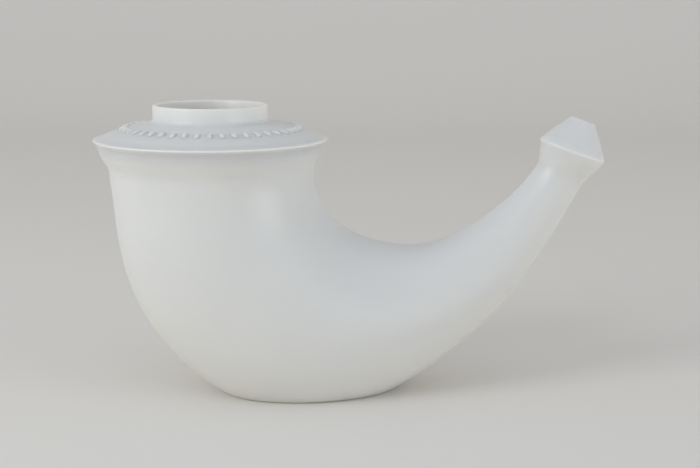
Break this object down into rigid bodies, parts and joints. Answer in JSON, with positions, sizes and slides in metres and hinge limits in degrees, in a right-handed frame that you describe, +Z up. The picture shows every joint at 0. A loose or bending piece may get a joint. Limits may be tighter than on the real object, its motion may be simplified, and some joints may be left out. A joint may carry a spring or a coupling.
{
  "type": "neti pot",
  "caption": "Squeezable horn-shaped pot with a flared shoulder and open filling collar, its spout rising to a conical nosepiece with an outlet, for rinsing the nose.",
  "frame": {"origin": "middle of the flat base, on the surface that the pot stands on", "axes": "+X towards the spout, +Z up, XZ is the plane of symmetry"},
  "size_m": [0.1894, 0.0872, 0.1074],
  "materials": {
    "translucent_plastic": "milky translucent, satin"
  },
  "bodies": {
    "root": {"neti_pot": "translucent_plastic"}
  },
  "joints": []
}
